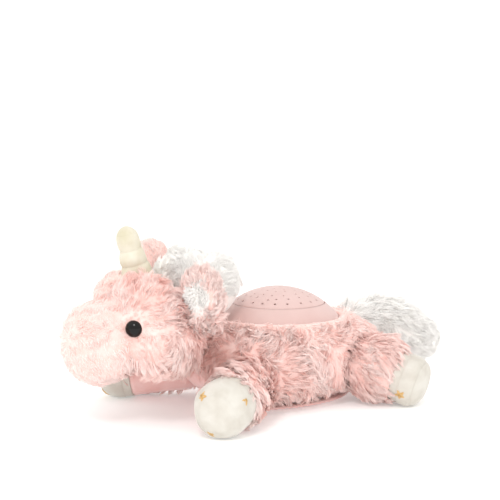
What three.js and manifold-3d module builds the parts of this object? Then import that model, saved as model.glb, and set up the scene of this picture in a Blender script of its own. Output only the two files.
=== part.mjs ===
// Plush unicorn night light, lying on its belly with a pinholed star dome in its back.
// Millimetres, +Z up, the toy faces -Y, its left side is +X, the origin is the bottom centre.
import * as THREE from "three";
import { mergeVertices } from "three/addons/utils/BufferGeometryUtils.js";
import Module from "manifold-3d";

const wasm = await Module();
wasm.setup();

// ---------------------------------------------------------------- driving dimensions
const WALL = 2.5; // thickness given to the plush fabric
const GAP = 0.4; // clearance between neighbouring pieces
const SWING_GAP = 1.2; // clearance around pieces that swing

const BODY = { centre: [0, 8, 34.5], radii: [53, 76, 30.6], power: 3 };
const SHOULDER = { centre: [0, -50, 42], radii: [32, 24, 22], power: 2 };

const CRANIUM = { centre: [0, -111, 73], radii: [41, 34, 27], power: 2.2 };
const MUZZLE = { centre: [0, -143.5, 58.5], radii: [31, 23, 27.5], power: 2 };
const CHEEK = { centre: [23, -110, 59], radii: [26, 26, 24], power: 2 };
const CHIN = { centre: [0, -116, 60], radii: [36, 34, 23], power: 2 };
const BROW = { centre: [13, -119, 87], radii: [20, 21, 19], power: 2 };
const HEAD_CLEARANCE = { centre: [0, -114, 66], radii: [60, 43, 40], power: 2 };

const NECK_PIVOT = [0, -76, 56];
const NECK_RADIUS = 19;

const LEGS = [
  {
    name: "front", hip: [43, -50, 25], foot: [71, -88, 20.2],
    hipRadius: 19, thighRadius: 19, cuffRadius: 19.6, footRadius: 20,
  },
  {
    name: "rear", hip: [42, 53, 30], foot: [72, 71.5, 19.6],
    hipRadius: 20.5, thighRadius: 25, cuffRadius: 22.8, footRadius: 19.4,
  },
];
const THIGH_AT = 0.4; // share of the way from hip to foot
const CUFF_LENGTH = 7; // the cuff's fullest place, behind the hoof seam
const LEG_SOCKET_STRETCH = 1.3; // how much wider than the leg its socket is, for the swing
const HIP_END = 0.55; // the cover stops this share of the hip radius behind the hip
const HOOF_START = 6; // how far behind the foot centre the hoof begins

const TAIL_PIVOT = [0, 78, 54];
const TAIL_SOCKET_STRETCH = 1.3;
const TAIL_STEPS = [
  { at: [0, 78, 54], r: 11 },
  { at: [0, 100, 57], r: 13 },
  { at: [0, 124, 48], r: 16.5 },
  { at: [0, 145, 32], r: 18 },
];

const HORN = { base: [0, -113, 98], tip: [0, -124.5, 137.5], baseRadius: 11, tipRadius: 7.4, sunk: 4 };
const HORN_GROOVES = [0.35, 0.61]; // shares of the horn's length
const HORN_GROOVE_DEPTH = 1.6;
const HORN_PUFFS = { foot: 0.6, footAt: 0.16, above: 0.4, aboveAt: 0.13 }; // how the cloth swells
const THREAD_RADIUS = 0.6;

const EAR = { length: 45, width: 33, thickness: 13, hollowOffset: 7.5, hollowInset: 1.5, liningFront: 5.4 };
// How each ear stands: its root, how far it leans out, where its opening faces, measured from straight
// out to the side, and how far it can be pushed towards the head. Angles in degrees.
const EARS = {
  left: { root: [36, -89.5, 66.5], lean: 20, facing: -75, inward: 12 },
  right: { root: [33, -82, 77], lean: 10, facing: 0, inward: 8 },
};

const EYE = {
  direction: [0.724, -0.689, -0.046], radius: 5.8, rise: 1.2, neck: 0.6, shank: 1.5, shankLength: 7,
};
const WASHER = { radius: 5, near: 0.7, far: 2, pocketRadius: 6, pocketDepth: 12 };

const DOME = { apex: 86, radius: 58.4, rim: 35, wall: 2, centreY: 6 };
const COLLAR = { rim: 46, skirtBottom: 52, wall: 2.2, ledge: 2, innerFrom: 37, innerTo: 40 };
const DOME_LIP = { radius: 52.5, top: 65 }; // where the plush rises around the dome
const PINHOLE_RINGS = [
  { tilt: 8, count: 4, size: 0.7 },
  { tilt: 18, count: 8, size: 0.8 },
  { tilt: 28, count: 12, size: 1 },
];
const BUTTON_NAMES = ["power", "colour", "timer"];
const PINHOLE_TWIST = 17; // how far each ring of pinholes is turned from the last, in degrees
const BUTTON = {
  radius: 4.2, flange: 5.2, flangeThickness: 1.4, tilt: 43.5, spacing: 17, proud: 1.1, travel: 1,
  chamferWidth: 0.6, chamferHeight: 0.5, boreStart: 48,
};
const MEMBRANE = { from: 38, to: 50, thickness: 1.2, width: 44, reach: 60, middle: 70 };

const HOUSING = { radius: 38.5, top: 60, middle: 24, bottom: 7.2, lowerRadius: 35, wall: 2 };
const BOARD = { z: 34, thickness: 1.6 };
const LAMP = { radius: 2.5, height: 4, circle: 6 };
const BATTERY = { radius: 5.25, length: 44.5, pitch: 12, z: 13.6, contactOffset: 3.4 };
const TERMINAL = { radius: 1.9, height: 1 };
const CONTACT = { width: 34, thickness: 0.8, height: 9 };
const BATTERY_BAY = { width: 40, length: 54, top: 20 };
const HOUSING_SCREW = { x: 29, hole: 1.8, headHole: 3.2, head: 2.8, shank: 1.4, reach: 3 };
const DOOR = { margin: 1, thickness: 1.8, below: 1.3, screwInset: 2.4 };
const DOOR_SCREW = { hole: 1.4, head: 2.6, shank: 1 };
const BELLY = { halfWidth: 39, halfLength: 60, centreY: 8, thickness: 3.6 };
const FLAP = { width: 54, length: 66, thickness: 0.8, bottom: 0.3, recess: 2.4, clearance: 1.2 };
const STRIP = { width: 5, length: 56, hook: 0.5, loop: 0.4, fromEdge: 3.4 };

// ---------------------------------------------------------------- materials
const finish = (color, roughness, metalness = 0) => ({ color, roughness, metalness });
const LOOKS = {
  plush: finish(0xf2cfcb, 0.95),
  pinkCloth: finish(0xe6b4b3, 0.9),
  whiteFur: finish(0xf3f1ee, 0.95),
  velour: finish(0xf4f1e6, 0.9),
  stuffing: finish(0xf7f7f5, 1),
  thread: finish(0xe8e3cc, 0.8),
  eye: finish(0x0b0909, 0.08),
  dome: finish(0xf0d9d8, 0.35),
  plastic: finish(0xe9e5e2, 0.45),
  rubber: finish(0xd8d5d0, 0.8),
  board: finish(0x2f6b45, 0.5),
  battery: finish(0xb9bcc0, 0.35, 0.4),
  metal: finish(0xc8c9cb, 0.3, 1),
  hook: finish(0xf0dede, 0.95),
};

const unicorn = new THREE.Group();

// ---------------------------------------------------------------- solids
function toSolid(geometry) {
  const bare = geometry.index ? geometry.clone() : geometry;
  bare.deleteAttribute("normal");
  bare.deleteAttribute("uv");
  const merged = mergeVertices(bare, 1e-4);
  const position = merged.attributes.position;
  const faces = [];
  const corner = [new THREE.Vector3(), new THREE.Vector3(), new THREE.Vector3()];
  let volume = 0;
  for (let i = 0; i < merged.index.count; i += 3) {
    const face = [0, 1, 2].map((k) => merged.index.getX(i + k));
    if (new Set(face).size < 3) continue;
    face.forEach((vertex, k) => corner[k].fromBufferAttribute(position, vertex));
    volume += corner[0].dot(corner[1].clone().cross(corner[2]));
    faces.push(face);
  }
  const outward = volume < 0 ? faces.map(([a, b, c]) => [a, c, b]) : faces;
  return new wasm.Manifold(
    new wasm.Mesh({
      numProp: 3,
      vertProperties: new Float32Array(position.array),
      triVerts: new Uint32Array(outward.flat()),
    }),
  );
}

function placed(solid, matrix) {
  return solid.transform(matrix.elements);
}

function shifted(solid, x, y, z) {
  return solid.translate([x, y, z]);
}

function mirrored(solid) {
  return solid.mirror([1, 0, 0]);
}

function union(solids) {
  return solids.reduce((sum, next) => sum.add(next));
}

function cut(solid, ...tools) {
  return tools.reduce((rest, tool) => rest.subtract(tool), solid);
}

// A rounded lobe: a sphere pulled towards a box by a power above 2, then stretched.
function lobe({ centre, radii, power }, inset = 0, around = 24) {
  const geometry = new THREE.SphereGeometry(1, around, Math.round(around * 0.6));
  const position = geometry.attributes.position;
  const direction = new THREE.Vector3();
  for (let i = 0; i < position.count; i += 1) {
    direction.fromBufferAttribute(position, i);
    const sum = direction.toArray().reduce((total, value) => total + Math.abs(value) ** power, 0);
    direction.multiplyScalar(sum ** (-1 / power));
    const point = direction.toArray().map((value, k) => centre[k] + value * (radii[k] - inset));
    position.setXYZ(i, ...point);
  }
  return toSolid(geometry);
}

function ball(centre, radius, around = 20) {
  return lobe({ centre, radii: [radius, radius, radius], power: 2 }, 0, around);
}

// A turned solid along local +Z from an outline of [radius, height] points that ends on the axis.
function turned(outline, around = 16) {
  const points = outline.map(([radius, height]) => new THREE.Vector2(radius, height));
  const geometry = new THREE.LatheGeometry(points, around);
  geometry.rotateX(Math.PI / 2);
  return toSolid(geometry);
}

function rod(radius, bottom, top, around = 16) {
  return turned([[0, bottom], [radius, bottom], [radius, top], [0, top]], around);
}

function ring(inner, outer, bottom, top, around = 24) {
  return rod(outer, bottom, top, around).subtract(rod(inner, bottom - 1, top + 1, around));
}

function block(width, depth, height, x, y, z) {
  const geometry = new THREE.BoxGeometry(width, depth, height);
  geometry.translate(x, y, z);
  return toSolid(geometry);
}

// Local +Z turned to run from one point towards another.
function along(from, to) {
  const direction = new THREE.Vector3(...to).sub(new THREE.Vector3(...from)).normalize();
  const turn = new THREE.Quaternion().setFromUnitVectors(new THREE.Vector3(0, 0, 1), direction);
  return new THREE.Matrix4().compose(new THREE.Vector3(...from), turn, new THREE.Vector3(1, 1, 1));
}

function about(pivot, axis, degrees) {
  const angle = THREE.MathUtils.degToRad(degrees);
  return new THREE.Matrix4().makeTranslation(...pivot)
    .multiply(new THREE.Matrix4().makeRotationAxis(new THREE.Vector3(...axis), angle))
    .multiply(new THREE.Matrix4().makeTranslation(...pivot.map((value) => -value)));
}

// A solid stretched sideways about a pivot, which makes room for its swing about a vertical axis.
function widened(solid, pivot, [sideX, sideY], factor) {
  const heading = Math.atan2(sideY, sideX);
  const stretch = new THREE.Matrix4().makeTranslation(...pivot)
    .multiply(new THREE.Matrix4().makeRotationZ(heading))
    .multiply(new THREE.Matrix4().makeScale(factor, 1, 1))
    .multiply(new THREE.Matrix4().makeRotationZ(-heading))
    .multiply(new THREE.Matrix4().makeTranslation(...pivot.map((value) => -value)));
  return placed(solid, stretch);
}

function arc(centreHeight, radius, fromDegrees, toDegrees, steps) {
  return Array.from({ length: steps + 1 }, (_, i) => {
    const angle = THREE.MathUtils.degToRad(fromDegrees + ((toDegrees - fromDegrees) * i) / steps);
    return [radius * Math.cos(angle), centreHeight + radius * Math.sin(angle)];
  });
}

function addPiece(name, solid, look) {
  const mesh = solid.getMesh();
  const geometry = new THREE.BufferGeometry();
  geometry.setAttribute("position", new THREE.BufferAttribute(new Float32Array(mesh.vertProperties), 3));
  geometry.setIndex(new THREE.BufferAttribute(new Uint32Array(mesh.triVerts), 1));
  geometry.computeVertexNormals();
  const piece = new THREE.Mesh(geometry, new THREE.MeshStandardMaterial(LOOKS[look]));
  piece.name = name;
  unicorn.add(piece);
}

// ---------------------------------------------------------------- legs
// One limb outline from the hip ball to the round end of the hoof.
function limbReach(leg) {
  return new THREE.Vector3(...leg.hip).distanceTo(new THREE.Vector3(...leg.foot));
}

function limbSolid(leg, inset, around = 14) {
  const reach = limbReach(leg);
  const seam = reach - HOOF_START;
  const outline = [
    ...arc(0, leg.hipRadius - inset, -90, 0, 3),
    [leg.thighRadius - inset, reach * THIGH_AT],
    [leg.cuffRadius - inset, seam - CUFF_LENGTH],
    [leg.footRadius - inset, seam],
    ...arc(reach, leg.footRadius - inset, 0, 90, 4),
  ];
  return turned(outline, around);
}

function limbFrame(leg) {
  return along(leg.hip, leg.foot);
}

const BEYOND_LIMB = 60; // reaches past the end of any limb
const AROUND_LIMB = 40; // wider than any limb
const legSweeps = [];
for (const leg of LEGS) {
  const seam = limbReach(leg) - HOOF_START;
  const skin = limbSolid(leg, 0).subtract(limbSolid(leg, WALL, 10));
  const hoofEnd = rod(AROUND_LIMB, seam - GAP / 2, seam + BEYOND_LIMB, 8);
  const hipEnd = rod(AROUND_LIMB, -BEYOND_LIMB, -leg.hipRadius * HIP_END, 8);
  const coverEnd = rod(AROUND_LIMB, -BEYOND_LIMB, seam + GAP / 2, 8);
  const pieces = [
    ["leg_cover", cut(skin, hoofEnd, hipEnd), "plush"],
    ["hoof", cut(skin, coverEnd), "velour"],
    ["leg_stuffing", limbSolid(leg, WALL + GAP, 10), "stuffing"],
  ];
  for (const [kind, solid, look] of pieces) {
    const left = placed(solid, limbFrame(leg));
    addPiece(`${leg.name}_left_${kind}`, left, look);
    addPiece(`${leg.name}_right_${kind}`, mirrored(left), look);
  }
  const clearance = placed(limbSolid(leg, -SWING_GAP, 10), limbFrame(leg));
  const [dx, dy] = [0, 1].map((k) => leg.foot[k] - leg.hip[k]);
  const sweep = widened(clearance, leg.hip, [dy, -dx], LEG_SOCKET_STRETCH);
  legSweeps.push(sweep, mirrored(sweep));
}

// ---------------------------------------------------------------- tail
function chain(steps, inset, around = 10) {
  const links = [];
  for (let i = 1; i < steps.length; i += 1) {
    const start = steps[i - 1];
    const end = steps[i];
    const gap = new THREE.Vector3(...start.at).distanceTo(new THREE.Vector3(...end.at));
    const cone = turned([[0, 0], [start.r - inset, 0], [end.r - inset, gap], [0, gap]], around);
    links.push(placed(cone, along(start.at, end.at)));
  }
  return union([...links, ...steps.map((step) => ball(step.at, step.r - inset, around))]);
}

addPiece("tail", chain(TAIL_STEPS, 0), "whiteFur");
const tailSweep = widened(chain(TAIL_STEPS.slice(0, 2), -SWING_GAP), TAIL_PIVOT, [1, 0], TAIL_SOCKET_STRETCH);

// ---------------------------------------------------------------- head
function headSolid(inset, around) {
  const cheek = lobe(CHEEK, inset, around - 2);
  const brow = lobe(BROW, inset, around - 4);
  return union([
    lobe(CRANIUM, inset, around),
    lobe(MUZZLE, inset, around),
    lobe(CHIN, inset, around - 4),
    cheek,
    mirrored(cheek),
    brow,
    mirrored(brow),
  ]);
}

// The point of a round lobe in a given direction, and the outward direction there.
function surfacePoint({ centre, radii, power }, direction) {
  const sum = direction.reduce((total, value) => total + Math.abs(value) ** power, 0);
  const unit = direction.map((value) => value * sum ** (-1 / power));
  const point = unit.map((value, k) => centre[k] + value * radii[k]);
  const slope = unit.map((value, k) => (Math.sign(value) * Math.abs(value) ** (power - 1)) / radii[k]);
  return { point, outward: new THREE.Vector3(...slope).normalize() };
}

const eyeSeat = surfacePoint(CRANIUM, EYE.direction);
const eyeTarget = new THREE.Vector3(...eyeSeat.point).add(eyeSeat.outward).toArray();
const eyeFrame = along(eyeSeat.point, eyeTarget);

const neckBall = ball(NECK_PIVOT, NECK_RADIUS, 14);
const neckSocket = ball(NECK_PIVOT, NECK_RADIUS + SWING_GAP, 14);

const shankHole = placed(rod(EYE.shank + GAP, -20, 6, 8), eyeFrame);
const washerPocket = placed(rod(WASHER.pocketRadius, -WASHER.pocketDepth, -WALL, 10), eyeFrame);
const eyeSolid = placed(
  turned([
    [0, -EYE.shankLength],
    [EYE.shank, -EYE.shankLength],
    [EYE.shank, EYE.neck],
    ...arc(EYE.rise, EYE.radius, -6, 90, 4),
  ], 14),
  eyeFrame,
);
const washerSolid = placed(
  ring(EYE.shank + GAP / 2, WASHER.radius, -WALL - WASHER.far, -WALL - WASHER.near, 12),
  eyeFrame,
);

const eyeSpotFace = placed(rod(EYE.radius + GAP, 0.2, 8, 12), eyeFrame);
const eyeTools = [shankHole, eyeSpotFace, washerPocket];
const eyeCuts = [...eyeTools, ...eyeTools.map(mirrored)];
const headCover = cut(headSolid(0, 18), headSolid(WALL, 14), neckSocket, ...eyeCuts);
const headStuffing = cut(headSolid(WALL + GAP, 14), neckSocket, washerPocket, mirrored(washerPocket));
addPiece("head_cover", headCover, "plush");
addPiece("head_stuffing", headStuffing, "stuffing");
addPiece("neck_stuffing", neckBall, "stuffing");
for (const [side, flip] of [["left", (solid) => solid], ["right", mirrored]]) {
  addPiece(`${side}_eye`, flip(eyeSolid), "eye");
  addPiece(`${side}_eye_washer`, flip(washerSolid), "plastic");
}

// ---------------------------------------------------------------- horn
const hornLength = new THREE.Vector3(...HORN.base).distanceTo(new THREE.Vector3(...HORN.tip));
const hornFrame = along(HORN.base, HORN.tip);
const hornRadius = (share) => THREE.MathUtils.lerp(HORN.baseRadius, HORN.tipRadius, share);
const hornOutline = [
  [0, -HORN.sunk],
  [hornRadius(0), -HORN.sunk],
  [hornRadius(0) + HORN_PUFFS.foot, hornLength * HORN_PUFFS.footAt],
];
for (const groove of HORN_GROOVES) {
  const puff = groove + HORN_PUFFS.aboveAt;
  hornOutline.push([hornRadius(groove) - HORN_GROOVE_DEPTH, hornLength * groove]);
  hornOutline.push([hornRadius(puff) + HORN_PUFFS.above, hornLength * puff]);
}
hornOutline.push(...arc(hornLength - HORN.tipRadius, HORN.tipRadius, 15, 90, 4));
const headBump = headSolid(-GAP, 18);
addPiece("horn", placed(turned(hornOutline, 18), hornFrame).subtract(headBump), "velour");
HORN_GROOVES.forEach((groove, i) => {
  const inner = hornRadius(groove) - HORN_GROOVE_DEPTH + GAP;
  const torus = new THREE.TorusGeometry(inner + THREAD_RADIUS, THREAD_RADIUS, 5, 18);
  torus.translate(0, 0, hornLength * groove);
  addPiece(`horn_thread_${i + 1}`, placed(toSolid(torus), hornFrame), "thread");
});

// ---------------------------------------------------------------- ears
function earPieces({ root, lean, facing, inward }) {
  const centre = [0, 0, EAR.length / 2];
  const radii = [EAR.thickness / 2, EAR.width / 2, EAR.length / 2];
  const pad = lobe({ centre, radii, power: 2 }, 0, 16);
  const bowl = { centre: [EAR.hollowOffset, 0, EAR.length / 2 + 1], radii, power: 2 };
  const hollow = lobe(bowl, EAR.hollowInset, 12);
  const lining = lobe(bowl, EAR.hollowInset + GAP, 12);
  const depth = EAR.length; // a block this deep reaches past the back of the lining
  const front = block(depth, EAR.width * 2, EAR.length * 2, EAR.liningFront - depth / 2, 0, EAR.length / 2);
  const frame = new THREE.Matrix4()
    .makeTranslation(...root)
    .multiply(new THREE.Matrix4().makeRotationY(THREE.MathUtils.degToRad(lean)))
    .multiply(new THREE.Matrix4().makeRotationZ(THREE.MathUtils.degToRad(facing)));
  const head = [headBump, placed(headBump, about(root, [0, 1, 0], inward))];
  return {
    ear: cut(placed(pad.subtract(hollow), frame), ...head),
    lining: cut(placed(lining.intersect(front), frame), ...head),
  };
}

for (const [side, flip] of [["left", (solid) => solid], ["right", mirrored]]) {
  const { ear, lining } = earPieces(EARS[side]);
  addPiece(`${side}_ear`, flip(ear), "plush");
  addPiece(`${side}_ear_lining`, flip(lining), "velour");
}

// ---------------------------------------------------------------- mane
const MANE_LOBES = [
  { centre: [0, -77, 99], radii: [14, 18, 17.5], power: 2 },
  { centre: [0, -58, 92], radii: [15, 22, 21], power: 2 },
];
addPiece("mane", union(MANE_LOBES.map((part) => lobe(part, 0, 16))).subtract(headBump), "whiteFur");

// ---------------------------------------------------------------- star dome and collar
const sphereZ = DOME.apex - DOME.radius;
const onSphere = (radius, depth = 0) => sphereZ + Math.sqrt((DOME.radius - depth) ** 2 - radius ** 2);
const tiltOf = (radius, depth = 0) => THREE.MathUtils.radToDeg(Math.asin(radius / (DOME.radius - depth)));

function atDome(solid) {
  return shifted(solid, 0, DOME.centreY, 0);
}

function sphereArc(radius, fromTilt, toTilt, steps) {
  return arc(sphereZ, radius, 90 - fromTilt, 90 - toTilt, steps);
}

function domeFrame(tilt, heading) {
  const lean = new THREE.Matrix4().makeRotationY(THREE.MathUtils.degToRad(tilt));
  const turn = new THREE.Matrix4().makeRotationZ(THREE.MathUtils.degToRad(heading));
  const centre = new THREE.Matrix4().makeTranslation(0, DOME.centreY, sphereZ);
  return centre.multiply(turn).multiply(lean);
}

let domeShell = atDome(turned([
  ...sphereArc(DOME.radius, 0, tiltOf(DOME.rim), 5),
  ...sphereArc(DOME.radius - DOME.wall, tiltOf(DOME.rim, DOME.wall), 0, 3),
], 24));
const pinholes = [];
PINHOLE_RINGS.forEach(({ tilt, count, size }, ringIndex) => {
  for (let i = 0; i < count; i += 1) {
    const heading = (360 * i) / count + ringIndex * PINHOLE_TWIST;
    pinholes.push(placed(rod(size, DOME.radius - 5, DOME.radius + 2, 4), domeFrame(tilt, heading)));
  }
});
domeShell = cut(domeShell, ...pinholes);
addPiece("projector_dome", domeShell, "dome");

const collarInner = DOME.radius - COLLAR.wall;
const ledgeTop = onSphere(DOME.rim, DOME.wall) - GAP;
const collarSolid = atDome(turned([
  [DOME.rim + GAP, ledgeTop],
  ...sphereArc(DOME.radius, tiltOf(DOME.rim + GAP), tiltOf(COLLAR.rim), 3),
  [COLLAR.rim, COLLAR.skirtBottom],
  [COLLAR.rim - COLLAR.wall, COLLAR.skirtBottom],
  [COLLAR.rim - COLLAR.wall, onSphere(COLLAR.rim - COLLAR.wall, COLLAR.wall)],
  ...sphereArc(collarInner, tiltOf(COLLAR.innerTo, COLLAR.wall), tiltOf(COLLAR.innerFrom, COLLAR.wall), 1),
  [DOME.rim - COLLAR.ledge, ledgeTop - COLLAR.ledge],
  [DOME.rim - COLLAR.ledge, ledgeTop],
  [DOME.rim + GAP, ledgeTop],
], 24));
const buttonHoles = [];
const buttonFrames = BUTTON_NAMES.map((_, i) => domeFrame(BUTTON.tilt, 180 + (i - 1) * BUTTON.spacing));
for (const frame of buttonFrames) {
  buttonHoles.push(placed(rod(BUTTON.radius + GAP, BUTTON.boreStart, DOME.radius + 3, 10), frame));
  buttonHoles.push(placed(rod(BUTTON.flange + GAP, BUTTON.boreStart, collarInner, 10), frame));
}
addPiece("dome_collar", cut(collarSolid, ...buttonHoles), "dome");

const flangeTop = collarInner - GAP;
const flangeBottom = flangeTop - BUTTON.flangeThickness;
const buttonTop = DOME.radius + BUTTON.proud;
BUTTON_NAMES.forEach((name, i) => {
  const cap = turned([
    [0, flangeBottom],
    [BUTTON.flange, flangeBottom],
    [BUTTON.flange, flangeTop],
    [BUTTON.radius, flangeTop],
    [BUTTON.radius, buttonTop - BUTTON.chamferHeight],
    [BUTTON.radius - BUTTON.chamferWidth, buttonTop],
    [0, buttonTop],
  ], 10);
  addPiece(`${name}_button`, placed(cap, buttonFrames[i]), "dome");
});
const membraneTop = flangeBottom - BUTTON.travel - GAP;
const membraneOutline = [
  ...sphereArc(membraneTop, MEMBRANE.from, MEMBRANE.to, 2),
  ...sphereArc(membraneTop - MEMBRANE.thickness, MEMBRANE.to, MEMBRANE.from, 2),
];
const membraneZone = atDome(turned([...membraneOutline, membraneOutline[0]], 32));
const buttonSide = block(
  MEMBRANE.reach, MEMBRANE.width, MEMBRANE.reach, -MEMBRANE.reach / 2, DOME.centreY, MEMBRANE.middle,
);
addPiece("button_membrane", membraneZone.intersect(buttonSide), "rubber");

// ---------------------------------------------------------------- light unit
function cup(radius, bottom, top, wall, around = 24) {
  return rod(radius, bottom, top, around).subtract(rod(radius - wall, bottom + wall, top + 1, around));
}

const bayHalf = BATTERY_BAY.length / 2;
const screwSpots = [[-HOUSING_SCREW.x, DOME.centreY], [HOUSING_SCREW.x, DOME.centreY]];
const screwHoles = screwSpots.map(([x, y]) => shifted(rod(HOUSING_SCREW.hole, -5, 40, 8), x, y, 0));
const screwHeadHoles = screwSpots.map(([x, y]) => (
  shifted(rod(HOUSING_SCREW.headHole, -5, HOUSING.bottom + 3, 8), x, y, 0)
));
const flangeOuter = COLLAR.rim - COLLAR.wall - GAP;
const flangeRing = ring(HOUSING.radius - 1, flangeOuter, HOUSING.top - 3, HOUSING.top);
const upperCup = cup(HOUSING.radius, HOUSING.middle, HOUSING.top, HOUSING.wall);
const upperHousing = atDome(union([upperCup, flangeRing]));
addPiece("housing_upper", cut(upperHousing, ...screwHoles), "plastic");

const lowerTop = HOUSING.middle - GAP;
const bay = block(
  BATTERY_BAY.width, BATTERY_BAY.length, BATTERY_BAY.top, 0, DOME.centreY, BATTERY_BAY.top / 2,
);
const lowerHousing = atDome(rod(HOUSING.lowerRadius, HOUSING.bottom, lowerTop, 24));
addPiece("housing_lower", cut(lowerHousing, bay, ...screwHoles, ...screwHeadHoles), "plastic");
screwSpots.forEach(([x, y], i) => {
  const screw = turned([
    [0, HOUSING.bottom + 0.4],
    [HOUSING_SCREW.head, HOUSING.bottom + 0.4],
    [HOUSING_SCREW.head, HOUSING.bottom + 2.4],
    [HOUSING_SCREW.shank, HOUSING.bottom + 2.6],
    [HOUSING_SCREW.shank, HOUSING.middle + HOUSING_SCREW.reach],
    [0, HOUSING.middle + HOUSING_SCREW.reach],
  ], 8);
  addPiece(`housing_screw_${i + 1}`, shifted(screw, x, y, 0), "metal");
});

const board = atDome(rod(HOUSING.radius - HOUSING.wall - GAP, BOARD.z, BOARD.z + BOARD.thickness, 24));
addPiece("circuit_board", board, "board");
const lampFoot = BOARD.z + BOARD.thickness + GAP;
["amber", "green", "blue"].forEach((colour, i) => {
  const lamp = turned([
    [0, lampFoot],
    [LAMP.radius + 0.4, lampFoot],
    [LAMP.radius, lampFoot + 1],
    ...arc(lampFoot + LAMP.height, LAMP.radius, 0, 90, 3),
  ], 10);
  const angle = (i * 2 * Math.PI) / 3;
  const spot = [LAMP.circle * Math.cos(angle), DOME.centreY + LAMP.circle * Math.sin(angle)];
  addPiece(`${colour}_lamp`, shifted(lamp, ...spot, 0), "dome");
});

for (let i = 0; i < 3; i += 1) {
  const half = BATTERY.length / 2;
  const cell = turned([
    [0, -half],
    [BATTERY.radius, -half],
    [BATTERY.radius, half - TERMINAL.height],
    [TERMINAL.radius, half - TERMINAL.height],
    [TERMINAL.radius, half],
    [0, half],
  ], 12);
  const direction = i === 1 ? -1 : 1;
  const middle = [(i - 1) * BATTERY.pitch, DOME.centreY, BATTERY.z];
  const ahead = [middle[0], middle[1] + direction, middle[2]];
  addPiece(`battery_${i + 1}`, placed(cell, along(middle, ahead)), "battery");
}
const contactY = BATTERY.length / 2 + BATTERY.contactOffset;
[["front", -1], ["rear", 1]].forEach(([end, sign]) => {
  const plateY = DOME.centreY + sign * contactY;
  const plate = block(CONTACT.width, CONTACT.thickness, CONTACT.height, 0, plateY, BATTERY.z);
  addPiece(`${end}_battery_contacts`, plate, "metal");
});

const doorHalf = { x: BATTERY_BAY.width / 2 - DOOR.margin, y: bayHalf - DOOR.margin };
const doorScrewY = DOME.centreY + doorHalf.y - DOOR.screwInset;
const doorMiddle = HOUSING.bottom - DOOR.below;
const door = block(doorHalf.x * 2, doorHalf.y * 2, DOOR.thickness, 0, DOME.centreY, doorMiddle);
const doorHole = shifted(rod(DOOR_SCREW.hole, -5, 12, 8), 0, doorScrewY, 0);
addPiece("battery_door", cut(door, doorHole), "plastic");
addPiece("door_screw", shifted(turned([
  [0, HOUSING.bottom - 3.9],
  [DOOR_SCREW.head, HOUSING.bottom - 3.9],
  [DOOR_SCREW.head, HOUSING.bottom - 2.6],
  [DOOR_SCREW.shank, HOUSING.bottom - 2.4],
  [DOOR_SCREW.shank, HOUSING.bottom + 1.2],
  [0, HOUSING.bottom + 1.2],
], 8), 0, doorScrewY, 0), "metal");

// ---------------------------------------------------------------- belly
function ovalSlab(halfWidth, halfLength, bottom, top) {
  const outline = new THREE.Shape();
  outline.absellipse(0, 0, halfWidth, halfLength, 0, 2 * Math.PI, false, 0);
  const depth = top - bottom;
  const geometry = new THREE.ExtrudeGeometry(outline, { depth, bevelEnabled: false, curveSegments: 12 });
  geometry.translate(0, BELLY.centreY, bottom);
  return toSolid(geometry);
}

const recess = block(
  FLAP.width + FLAP.clearance, FLAP.length + FLAP.clearance, FLAP.recess * 2, 0, DOME.centreY, 0,
);
const accessHole = block(BATTERY_BAY.width + 2, BATTERY_BAY.length + 2, 30, 0, DOME.centreY, 0);
const belly = ovalSlab(BELLY.halfWidth, BELLY.halfLength, 0, BELLY.thickness);
addPiece("belly_panel", cut(belly, recess, accessHole), "pinkCloth");
const flapMiddle = FLAP.bottom + FLAP.thickness / 2;
const flap = block(FLAP.width, FLAP.length, FLAP.thickness, 0, DOME.centreY, flapMiddle);
addPiece("belly_flap", flap, "pinkCloth");
const stripX = FLAP.width / 2 - STRIP.fromEdge;
const hookZ = FLAP.bottom + FLAP.thickness + GAP / 2 + STRIP.hook / 2;
const loopZ = FLAP.recess - GAP / 4 - STRIP.loop / 2;
const hookStrip = block(STRIP.width, STRIP.length, STRIP.hook, stripX, DOME.centreY, hookZ);
const loopStrip = block(STRIP.width, STRIP.length, STRIP.loop, stripX, DOME.centreY, loopZ);
addPiece("flap_hook_strip", hookStrip, "hook");
addPiece("belly_loop_strip", loopStrip, "hook");

// ---------------------------------------------------------------- body
function bodySolid(inset, around) {
  const domeLip = atDome(rod(DOME_LIP.radius - inset, 30, DOME_LIP.top - inset, around));
  return union([lobe(BODY, inset, around), lobe(SHOULDER, inset, around - 6), domeLip]);
}

const unitRoom = atDome(union([
  rod(COLLAR.rim + 1.2, COLLAR.skirtBottom - GAP, 90, 20),
  rod(HOUSING.radius + 1, HOUSING.middle - 2, 90, 20),
  rod(HOUSING.lowerRadius + 1, HOUSING.bottom - GAP, 40, 20),
]));
const neckRoom = lobe(HEAD_CLEARANCE, 0, 16);
const socketTools = [...legSweeps, tailSweep, neckRoom, neckSocket];
const bodyCover = cut(bodySolid(0, 20), bodySolid(WALL, 14), unitRoom, accessHole, ...socketTools);
addPiece("body_cover", bodyCover, "plush");
const bodyStuffing = cut(bodySolid(WALL + GAP, 14), unitRoom, accessHole, ...socketTools);
addPiece("body_stuffing", bodyStuffing, "stuffing");

export default unicorn;
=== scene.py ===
"""Looks of the plush unicorn night light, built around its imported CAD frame.

Lengths in the tables below are in millimetres; Blender works in metres, so they pass through MM.
The toy lies on its belly facing -Y, its left side is +X, and the floor is z = 0.
"""

import itertools
import math

import bmesh
import bpy
import numpy as np
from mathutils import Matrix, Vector
from mathutils.bvhtree import BVHTree
from mathutils.kdtree import KDTree


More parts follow.
